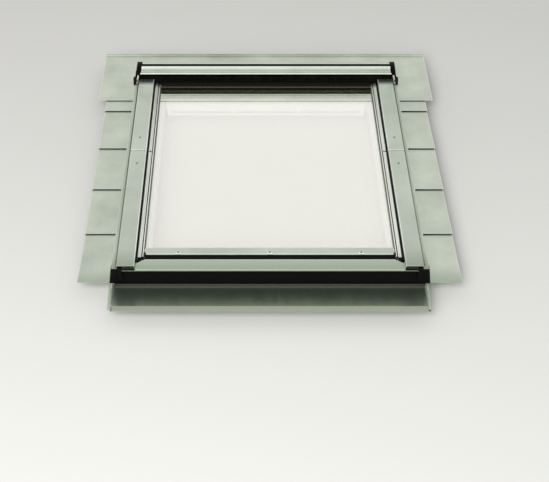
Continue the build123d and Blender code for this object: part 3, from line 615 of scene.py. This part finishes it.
def copy_to(piece, name, across=0.0, along=0.0):
    """A copy with its own mesh, moved in its mesh."""
    select_only(piece)
    bpy.ops.object.duplicate(linked=False)
    copy = bpy.context.object
    copy.name = name
    copy.data.name = name
    copy.data.transform(Matrix.Translation(Vector((across, along, 0))))
    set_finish(copy, piece["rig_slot"])
    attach(copy, "root")
    return copy


def mirror_to(piece, name):
    """A mirror image on the other side of the middle, with its own mesh."""
    image = copy_to(piece, name)
    pick_faces(image)
    bpy.ops.transform.resize(value=(-1, 1, 1), center_override=(0, 0, 0))
    bpy.ops.mesh.normals_make_consistent(inside=False)
    leave_edit()


def dress_both(piece, finish, rounding, segments=2):
    """Dresses a piece on the right and makes its mirror image on the left."""
    dress(piece, finish, rounding, segments)
    mirror_to(piece, piece.name.replace("right", "left"))


def cross_screw(name, foot, radius, height, finish):
    """A domed screw head with a pressed cross."""
    head = disc(name, foot, radius, height)
    raise_top(head, rim=radius * 0.35, rise=height * 0.35)
    long, short = radius * 0.62, radius * 0.14
    cross_z = foot.z + height * 1.3
    for reach_x, reach_y in ((long, short), (short, long)):
        cutter = block(f"{name}_cut", around(foot.x, reach_x), around(foot.y, reach_y),
                       around(cross_z, height * 0.5))
        apply_modifier(head, "BOOLEAN", object=cutter, operation="DIFFERENCE", solver="EXACT")
        bpy.ops.object.select_all(action="DESELECT")
        cutter.select_set(True)
        bpy.ops.object.delete()
    return dress(head, finish, rounding=radius * 0.08)


# Small fittings, from the hood down to the apron

def hood_groove_shade():
    """Black strip in the groove behind the hood's face, with a shallow channel on its back: painted shade of
    the groove.
    """
    reach = HOOD[1].x - 4.5 * MM
    groove = (HOOD[0].y + 4 * MM, HOOD[0].y + 10.7 * MM)
    strip = block("hood_groove_shade", (-reach, reach), groove, (HOOD[1].z - 8.2 * MM, HOOD[1].z - 0.3 * MM))
    step_down(strip, UP, rim=1.2 * MM, drop=3 * MM)
    dress(strip, "rubber", rounding=0.5 * MM)


def hood_face_folds():
    """The doubled fold along the top of the hood's face, and the rolled hem and drip edge along its foot."""
    face_y, face_low, face_top = HOOD[0].y + 1.6 * MM, HOOD[1].z - 39.5 * MM, HOOD[1].z - 5 * MM
    band_reach, hem_reach = HOOD[1].x - 6.4 * MM, HOOD[1].x - 0.6 * MM
    hem_low, hem_high, hem_back = face_low + 2.9 * MM, face_low + 7.1 * MM, face_y - CLEAR
    band = block("hood_face_band", (-band_reach, band_reach), (face_y - 2.1 * MM, face_y),
                 (face_top - 9 * MM, face_top - 2 * MM))
    move_faces(band, UP, (0, 1.9 * MM, 0))
    dress(band, "edge_cladding", rounding=0.6 * MM, segments=3)
    hem = block("hood_face_hem", (-hem_reach, hem_reach), (face_y - 3.2 * MM, hem_back), (hem_low, hem_high))
    move_faces(hem, UP, (0, 1.4 * MM, 0))
    dress(hem, "edge_cladding", rounding=1.1 * MM, segments=3)
    drip = block("hood_drip_edge", (-hem_reach, hem_reach), (face_y - 2.4 * MM, hem_back),
                 (face_low - 0.8 * MM, hem_low))
    move_faces(drip, DOWN, (0, 0.8 * MM, 0))
    dress(drip, "rubber", rounding=0.4 * MM)


def sill_strip():
    """Black ribbed seal on the frame's sill, in the gap before the sash."""
    front, back = BOTTOM_COVER[1].y + 0.6 * MM, SASH_PROFILE[0].y - 0.6 * MM
    width, reach = back - front, SASH_PROFILE[1].x + 2.5 * MM
    strip = block("sill_strip", (-reach, reach), (front, back), (FRAME_TOP + 0.2 * MM, FRAME_TOP + 6.5 * MM))
    for share in (0.2, 0.4, 0.6, 0.8):
        cut_through(strip, (0, front + width * share, 0), BACK)
    ribs = (front + width * 0.3, front + width * 0.7)
    extrude_faces(strip, UP, (0, 0, 2.2 * MM),
                  where=lambda middle: any(abs(middle.y - rib) < width * 0.05 for rib in ribs))
    dress(strip, "rubber", rounding=0.4 * MM)


def sash_lip():
    """Rubber lip that leans from the sash's lower profile over the sill's seal."""
    reach, lip_y = SASH_PROFILE[1].x, SASH_PROFILE[0].y - CLEAR
    lip = block("sash_lip", (-reach, reach), (lip_y - 1.4 * MM, lip_y),
                (FRAME_TOP + 9 * MM, SASH_PROFILE[1].z - 1.3 * MM))
    extrude_faces(lip, DOWN, (0, -2.5 * MM, -1.5 * MM))
    dress(lip, "rubber", rounding=0.3 * MM)


def strip_seals():
    """Rubber pressed between the sash's strips and the bead, with a fine channel."""
    seal = block("strip_seal_right", (BEAD[1].x + CLEAR, STRIP[0].x - CLEAR),
                 (BEAD[0].y + 1 * MM, BEAD[1].y - 1 * MM), (GLASS_TOP + CLEAR, GLASS_TOP + 1.6 * MM))
    step_down(seal, UP, rim=0.7 * MM, drop=0.7 * MM)
    dress_both(seal, "rubber", rounding=0.2 * MM)


def glass_seals():
    """Rubber along both sides of the glass, thick at the bead and thin towards the middle."""
    bead_in = BEAD[1].x - BEAD_WIDTH
    lip = block("glass_seal_right", (bead_in - 2.6 * MM, bead_in - CLEAR),
                (SASH_PROFILE[1].y + 0.2 * MM, TOP_PROFILE[0].y - 0.2 * MM),
                (GLASS_TOP + SEATED, GLASS_TOP + 2.6 * MM))
    scale_faces(lip, LEFT, (1, 1, 0.2), (0, 0, GLASS_TOP))
    extrude_faces(lip, LEFT, (-1.6 * MM, 0, 0))
    dress_both(lip, "seal", rounding=0.15 * MM)


def cover_seams():
    """Thin grey strips in the slits between wide covers and outer trims, painted shade of the slits, the
    right one lighter.
    """
    inner, trim_top = SIDE_COVER[1].x + CLEAR, TRIM[1].z
    lip = block("cover_seam_right", (inner, inner + 0.8 * MM), (SIDE_COVER[0].y + 2 * MM, TRIM[1].y),
                (trim_top - 2 * MM, trim_top + 0.3 * MM))
    extrude_faces(lip, UP, (0, 0, 0.5 * MM))
    scale_faces(lip, UP, (5.8, 1, 1), (inner, 0, 0))
    dress_both(lip, "seal", rounding=0.15 * MM)
    lip.data.materials[0] = FINISHES["light_seam_shade"]


def cover_hems():
    """Folded hems along the inner edges of the wide covers, with a gap at the joint."""
    inner, joint_y, top = SIDE_COVER[0].x, SIDE_COVER[1].y, SIDE_COVER[1].z
    half_gap = 0.6 * MM
    runs = ((SIDE_COVER[0].y + 1 * MM, joint_y - half_gap), (joint_y + half_gap, UPPER_COVER[1].y))
    for index, run in enumerate(runs):
        hem = block(f"cover_hem_right_{index + 1}", (inner - 0.2 * MM, inner + 3 * MM), run,
                    (top - 2.4 * MM, top + 0.7 * MM))
        scale_faces(hem, UP, (0.7, 1, 1), (inner + 1.2 * MM, 0, 0))
        dress_both(hem, "edge_cladding", rounding=0.6 * MM, segments=3)


def cover_end_seals():
    """Black seals before the lower ends of the wide covers."""
    inner, outer = SIDE_COVER[0].x - 1 * MM, SIDE_COVER[1].x - 1 * MM
    end_y, base = SIDE_COVER[0].y, SIDE_COVER[0].z
    seal = block("cover_end_seal_right", (inner, outer), (end_y - 1.8 * MM, end_y - 0.2 * MM),
                 (base - 6 * MM, base + 2.8 * MM))
    move_faces(seal, DOWN, (0, 0.6 * MM, 0))
    dress_both(seal, "rubber", rounding=0.3 * MM)


def cover_joints():
    """The dark joint between the wide covers, the upper one's lap over it, and the joint in the strip."""
    inner, outer, joint_y, top = SIDE_COVER[0].x, SIDE_COVER[1].x, SIDE_COVER[1].y, SIDE_COVER[1].z
    joint = wedge("cover_joint_right", (inner + 0.6 * MM, outer - 0.6 * MM),
                  (joint_y - 5 * MM, joint_y + 0.2 * MM), (top - 0.6 * MM, top + 0.15 * MM), FRONT, 0.6)
    dress_both(joint, "rubber", rounding=0.03 * MM)
    lap = wedge("cover_lap_right", (inner + 0.4 * MM, outer - 0.4 * MM),
                (joint_y - 0.2 * MM, joint_y + 5 * MM), (top - 0.3 * MM, top + 0.7 * MM), BACK, 0.4)
    dress_both(lap, "edge_cladding", rounding=0.15 * MM)
    strip_top = STRIP[1].z
    strip_joint = wedge("strip_joint_right", (STRIP[0].x + 0.8 * MM, STRIP[1].x - 0.6 * MM),
                        (joint_y + 9.5 * MM, joint_y + 13.5 * MM),
                        (strip_top - 0.6 * MM, strip_top + 0.15 * MM), FRONT, 0.6)
    dress_both(strip_joint, "rubber", rounding=0.03 * MM)


def top_seals():
    """Black rubber before the sash's upper profile, a black strip on its step as painted shade, and its
    raised bronze edge, lighter as a painted highlight.
    """
    reach, edge, top = TOP_PROFILE[1].x, TOP_PROFILE[0].y, TOP_PROFILE[1].z
    ledge, rim_back, step_back = GLASS_TOP + 5.2 * MM, edge + 2.6 * MM, edge + 20 * MM
    seal = block("top_seal", (-reach, reach), (edge - 3 * MM, edge - CLEAR),
                 (GLASS_TOP + SEATED, GLASS_TOP + 7.8 * MM))
    scale_faces(seal, FRONT, (1, 1, 0.3), (0, 0, GLASS_TOP))
    dress(seal, "rubber", rounding=0.3 * MM)
    rim = block("top_rim", (-reach, reach), (edge, rim_back), (ledge, top - 2.6 * MM))
    scale_faces(rim, UP, (1, 0.6, 1), (0, rim_back, 0))
    dress(rim, "bronze_rim", rounding=0.7 * MM, segments=3)
    step = block("top_step_shade", (-reach, reach), (edge + 11.5 * MM, step_back),
                 (ledge + 1.6 * MM, top + 0.8 * MM))
    scale_faces(step, UP, (1, 0.5, 1), (0, step_back, 0))
    dress(step, "rubber", rounding=0.3 * MM)


def sash_end_seals():
    """Black pads before the lower ends of the strips and of the bead, each with a narrower foot."""
    strip_width = (STRIP[0].x - 0.6 * MM, STRIP[1].x + 0.4 * MM)
    bead_width = (BEAD[1].x - BEAD_WIDTH - 0.2 * MM, STRIP[0].x - 0.8 * MM)
    for name, across, end_y, top in (("strip", strip_width, STRIP[0].y, STRIP[1].z - 1.4 * MM),
                                     ("bead", bead_width, BEAD[0].y, BEAD[1].z - 0.8 * MM)):
        pad = block(f"{name}_end_seal_right", across, (end_y - 1.6 * MM, end_y - CLEAR),
                    (FRAME_TOP + 3 * MM, top))
        step_down(pad, DOWN, rim=0.3 * MM, drop=2.5 * MM)
        dress_both(pad, "rubber", rounding=0.3 * MM)


def profile_plugs():
    """Brown plugs beside the ends of the sash's lower profile, each with a dished top."""
    end, front, top = SASH_PROFILE[1].x, SASH_PROFILE[0].y, SASH_PROFILE[1].z
    plug = block("profile_plug_right", (end - 4 * MM, end + 2.6 * MM), (front - 1.2 * MM, front + 8 * MM),
                 (GLASS_TOP, top + 0.9 * MM))
    step_down(plug, UP, rim=0.8 * MM, drop=0.8 * MM)
    dress_both(plug, "brown_plastic", rounding=0.3 * MM)


def corner_plugs():
    """Black round plugs at the lower corners of the sash, each with a dished top and a grey collar."""
    foot = Vector((-STRIP[0].x - 4.5 * MM, BOTTOM_COVER[1].y, FRAME_TOP + 0.2 * MM))
    plug = disc("corner_plug_left", foot, 6.5 * MM, 15 * MM, sides=40)
    step_down(plug, UP, rim=1.5 * MM, drop=2 * MM)
    dress(plug, "black_plastic", rounding=0.6 * MM, segments=3)
    copy_to(plug, "corner_plug_right", across=-2 * foot.x)
    collar = disc("corner_collar_left", foot, 8.2 * MM, 7 * MM, sides=40)
    step_down(collar, UP, rim=1.2 * MM, drop=1.5 * MM)
    dress(collar, "seal", rounding=0.8 * MM, segments=3)
    copy_to(collar, "corner_collar_right", across=-2 * foot.x)


def cap_skirts():
    """Black moulded skirts that close the lower ends of the outer trims and flare towards the apron."""
    front, shut = TRIM[0].y - 2.2 * MM, TRIM[0].y - 0.2 * MM
    inner, side = TRIM[0].x - 1 * MM, TRIM[1].x + 0.2 * MM
    skirt = block("cap_skirt_right", (side, side + 1.6 * MM), (front, front + 20 * MM),
                  (APRON[1].z + 11 * MM, TRIM[1].z - 1.5 * MM))
    cut_through(skirt, (0, shut, 0), BACK)
    extrude_faces(skirt, LEFT, (inner - side, 0, 0), where=lambda middle: middle.y < shut)
    scale_faces(skirt, DOWN, (1.35, 1, 1), (inner, 0, 0))
    dress_both(skirt, "black_plastic", rounding=0.5 * MM)


def foot_clips():
    """Bent metal clips that rise from the slots of the feet to the hood's ends, each with a screw."""
    slot_x, foot_y, slot_z = HOOD_END[1].x - 15.5 * MM, HOOD_END[0].y, TRIM[1].z
    toe_y, screw_y, seat_y = foot_y + 3 * MM, foot_y + 11 * MM, foot_y + 20.6 * MM
    sole_z, bend_z, head_z = slot_z - 2.5 * MM, slot_z + 5 * MM, slot_z + 27 * MM
    clip = block("foot_clip_right", around(slot_x, 3.6 * MM), (seat_y - 1.2 * MM, seat_y), (sole_z, head_z))
    cut_through(clip, (0, 0, bend_z), UP)

    def in_foot(middle):
        return middle.z < bend_z

    def in_head(middle):
        return middle.z > bend_z

    extrude_faces(clip, FRONT, (0, toe_y - seat_y, 2 * MM), where=in_foot)
    scale_faces(clip, FRONT, (1, 1, 0.35), (0, 0, slot_z + 3 * MM), where=in_foot)
    scale_faces(clip, UP, (0.7, 1, 1), (slot_x - 3.5 * MM, 0, 0), where=in_head)
    move_faces(clip, UP, (-2.5 * MM, 0, 0), where=in_head)
    dress_both(clip, "clip_steel", rounding=0.4 * MM)
    screw_foot = Vector((slot_x, screw_y, slot_z + 7.6 * MM))
    screw = cross_screw("foot_screw_right", screw_foot, 2.8 * MM, 1.6 * MM, "brown_screw")
    mirror_to(screw, "foot_screw_left")


def cover_screws():
    """Screws that hold the wide covers, above and below the joint between them."""
    middle_x, from_joint = (SIDE_COVER[0].x + SIDE_COVER[1].x) / 2, 81 * MM
    foot = Vector((middle_x, SIDE_COVER[1].y + from_joint, SIDE_COVER[1].z + SEATED))
    first = cross_screw("cover_screw_upper_right", foot, 3.6 * MM, 1.6 * MM, "coated_screw")
    copy_to(first, "cover_screw_lower_right", along=-2 * from_joint)
    copy_to(first, "cover_screw_upper_left", across=-2 * middle_x)
    copy_to(first, "cover_screw_lower_left", across=-2 * middle_x, along=-2 * from_joint)


def trim_screws():
    """Small dark screws in the groove beside the covers: two on the right and one on the left."""
    foot = Vector((SIDE_COVER[1].x + 3.6 * MM, TRIM[0].y + 39.5 * MM, TRIM[1].z + 0.7 * MM))
    first = cross_screw("trim_screw_right", foot, 1.9 * MM, 1.1 * MM, "dark_screw")
    copy_to(first, "trim_screw_right_low", along=-18.4 * MM)
    copy_to(first, "trim_screw_left", across=-2 * foot.x, along=-5 * MM)


def sash_clips():
    """Three small pressed clips on the sash's lower profile, each with a brown screw."""
    spacing, half_length, half_width = 278 * MM, 7.5 * MM, 4.8 * MM
    ledge_y, ledge_z = SASH_PROFILE[0].y + 6 * MM, SASH_PROFILE[1].z + 0.2 * MM
    for index, x in enumerate((-spacing, 0, spacing)):
        clip = block(f"sash_clip_{index + 1}", around(x, half_length), around(ledge_y, half_width),
                     (ledge_z, ledge_z + 1.2 * MM))
        raise_top(clip, rim=2.2 * MM, rise=0.9 * MM)
        dress(clip, "edge_cladding", rounding=0.5 * MM)
        screw_foot = Vector((x, ledge_y + 1 * MM, ledge_z + 2 * MM))
        cross_screw(f"sash_clip_screw_{index + 1}", screw_foot, 2.6 * MM, 1.2 * MM, "brown_screw")


def apron_ridge():
    """The ridge along the foot of the apron's upper fold, pressed into the sheet, its dark grey a painted
    shade below the sill.
    """
    reach, sheet_top = APRON[1].x - 5 * MM, FRAME_TOP - 58.4 * MM
    ridge = wedge("apron_ridge", (-reach, reach), (APRON[1].y - 9.5 * MM, APRON[1].y - 1.2 * MM),
                  (sheet_top - 0.6 * MM, sheet_top + 1.5 * MM), FRONT, 0.45)
    dress(ridge, "ridge_shade_sheet", rounding=0.4 * MM)


def apron_folds():
    """The apron's two ends, where the soft sheet is turned back: the right one is a little narrower."""
    end = APRON[1].x
    apron_fold("left", -1, end - 4 * MM, end + 10.5 * MM, seed=5)
    apron_fold("right", 1, end - 7 * MM, end + 6.5 * MM, seed=11)


def apron_fold(side, sign, inner, outer, seed):
    """A long thin sheet whose columns rise and fall across it, crumpled by small random moves."""
    turned, crumpled, rows = math.radians(2.0), 1.3 * MM, 44
    low_y, high_y = APRON[1].y - 133.2 * MM, APRON[1].y + 3.2 * MM
    low_z, high_z = FRAME_TOP - 49.5 * MM, FRAME_TOP - 58 * MM
    tilt = math.atan2(low_z - high_z, high_y - low_y)
    rises = [rise * MM for rise in (-0.6, 3.8, 5.6, 4.2, 5.8, 3.0, -0.6)]
    step = (outer - inner) / (len(rises) - 1)
    middle = Vector((sign * (inner + outer) / 2, (low_y + high_y) / 2, (low_z + high_z) / 2))
    bpy.ops.object.select_all(action="DESELECT")
    bpy.ops.mesh.primitive_grid_add(x_subdivisions=len(rises) - 1, y_subdivisions=rows, size=1,
                                    location=middle, rotation=(-tilt, 0, 0))
    bpy.context.object.scale = (outer - inner, high_y - low_y, 1)
    fold = name_new(f"apron_fold_{side}")
    bpy.ops.object.mode_set(mode="EDIT")
    for index, rise in enumerate(rises):
        pick_column(fold, sign * (inner + index * step), step / 3)
        bpy.ops.transform.translate(value=(0, 0, rise))
        if index > 0:
            bpy.ops.transform.vertex_random(offset=crumpled, seed=seed + index)
    bpy.ops.mesh.select_all(action="SELECT")
    bpy.ops.mesh.normals_make_consistent(inside=False)
    bpy.ops.transform.rotate(value=sign * turned, orient_axis="Z", center_override=middle)
    leave_edit()
    apply_modifier(fold, "SUBSURF", levels=1, render_levels=1)
    apply_modifier(fold, "SOLIDIFY", thickness=0.7 * MM, offset=0)
    dress(fold, "fold_sheet")


def pick_column(piece, column_x, reach):
    """Selects the corners near a place across, in edit mode."""
    bpy.ops.mesh.select_mode(type="VERT")
    bpy.ops.mesh.select_all(action="DESELECT")
    mesh = bmesh.from_edit_mesh(piece.data)
    for vertex in mesh.verts:
        vertex.select_set(abs(vertex.co.x - column_x) < reach)
    mesh.select_flush(True)
    bmesh.update_edit_mesh(piece.data)


def dress_cad_nodes():
    """Gives each CAD node the finish of its slot, or its own, with the timber's grain along the member."""
    slots = {part["node"]: part["material_slot"] for part in frame["record"]["subparts"]}
    for name, node in frame["nodes"].items():
        without_side = name.removesuffix("_right").removesuffix("_left")
        finish = FINISH_OF.get(without_side, slots[name])
        low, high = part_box(name)
        if finish == "white_timber" and high.x - low.x > high.y - low.y:
            finish = "white_timber_across"
        node.data.materials.clear()
        node.data.materials.append(FINISHES[finish])


# The scene

place_camera()
pale_floor()
soft_light()

FINISHES = {
    "white_timber": painted_timber("white_timber", along_x=False),
    "white_timber_across": painted_timber("white_timber_across", along_x=True),
    "glass": coated_glass("outer_glass", OUTER_MIRROR),
    "inner_glass": coated_glass("inner_glass", INNER_MIRROR),
    "spacer": dark_spacer("spacer"),
    "cladding": coated_sheet("cladding", COATED_GREY_GREEN),
    # The wide covers, with painted light and shade below the hood and a darker sheet towards the sill
    "cover_cladding": coated_sheet("cover_cladding", COATED_GREY_GREEN, hood_shade=0.96, sill_dark=0.26),
    "trim_cladding": coated_sheet("trim_cladding", TRIM_GREY_GREEN),
    # Strips, bead, folds and hems in the lighter grey-green, a painted highlight; the strips also get the
    # hood's painted shade
    "strip_cladding": coated_sheet("strip_cladding", EDGE_GREY_GREEN, hood_shade=0.9),
    "edge_cladding": coated_sheet("edge_cladding", EDGE_GREY_GREEN),
    "dark_cladding": coated_sheet("dark_cladding", HOOD_SHADE_BRONZE, metal=0.7, gloss=0.34),
    "bronze_rim": coated_sheet("bronze_rim", HIGHLIGHT_BRONZE, metal=0.7, gloss=0.30),
    "sash_cladding": coated_sheet("sash_cladding", COATED_GREY_GREEN, crease_shade=0.7, fold_highlight=0.3),
    "flashing": coated_sheet("flashing", FLASHING_GREY_GREEN, metal=0.85, gloss=0.33, mottled=0.10),
    # The apron's sheet, with painted shade along its upper fold below the sill
    "apron_sheet": coated_sheet("apron_sheet", FLASHING_GREY_GREEN, metal=0.93, gloss=0.35, mottled=0.10,
                                waved=0.03, shaded=0.558),
    "ridge_shade_sheet": coated_sheet("ridge_shade_sheet", RIDGE_SHADE_GREY, metal=0.1, gloss=0.5, fold_highlight=0.2),
    "fold_sheet": coated_sheet("fold_sheet", FLASHING_GREY_GREEN, metal=0.5, gloss=0.36, mottled=0.10,
                               waved=0.3),
    "black_plastic": moulded("black_plastic", BLACK_MOULDED, 0.5, 0.0011),
    "brown_plastic": moulded("brown_plastic", BROWN_MOULDED, 0.5, 0.0011, dust=0.04),
    "rubber": moulded("rubber", BLACK_RUBBER, 0.72, 0.0018, dust=0.04),
    "seal": moulded("seal", GREY_SEAL, 0.6, 0.0018, dust=0.2),
    "light_seam_shade": moulded("light_seam_shade", LIGHT_SEAM_SHADE, 0.6, 0.0018, dust=0.1),
    "steel": zinc_steel("steel", ZINC, 0.34),
    "clip_steel": zinc_steel("clip_steel", CLIP_ZINC, 0.3, spangle=0.003),
    "coated_screw": zinc_steel("coated_screw", COATED_SCREW, 0.42, spangle=0.002),
    "dark_screw": zinc_steel("dark_screw", DARK_SCREW, 0.45, spangle=0.002),
    "brown_screw": zinc_steel("brown_screw", BROWN_SCREW, 0.45, spangle=0.002),
    "white_metal": white_coat("white_metal"),
}

# CAD nodes whose finish isn't their slot's, named without their side
FINISH_OF = {"sash_bottom_profile": "sash_cladding", "apron": "apron_sheet", "inner_pane": "inner_glass",
             "sash_strips": "strip_cladding", "glazing_bead": "strip_cladding",
             "outer_trim": "trim_cladding",
             "side_cover_upper": "cover_cladding", "side_cover_lower": "cover_cladding"}

# The record's slot that each finish belongs to, where it has another name
SLOT_OF = {"edge_cladding": "cladding", "bronze_rim": "dark_cladding",
           "fold_sheet": "flashing", "ridge_shade_sheet": "flashing",
           "rubber": "black_plastic", "seal": "black_plastic",
           "light_seam_shade": "black_plastic", "brown_plastic": "black_plastic",
           "clip_steel": "steel", "coated_screw": "steel", "dark_screw": "steel", "brown_screw": "steel"}

dress_cad_nodes()
hood_groove_shade()
hood_face_folds()
sill_strip()
sash_lip()
strip_seals()
glass_seals()
cover_seams()
cover_hems()
cover_end_seals()
cover_joints()
top_seals()
sash_end_seals()
profile_plugs()
corner_plugs()
cap_skirts()
foot_clips()
cover_screws()
trim_screws()
sash_clips()
apron_ridge()
apron_folds()
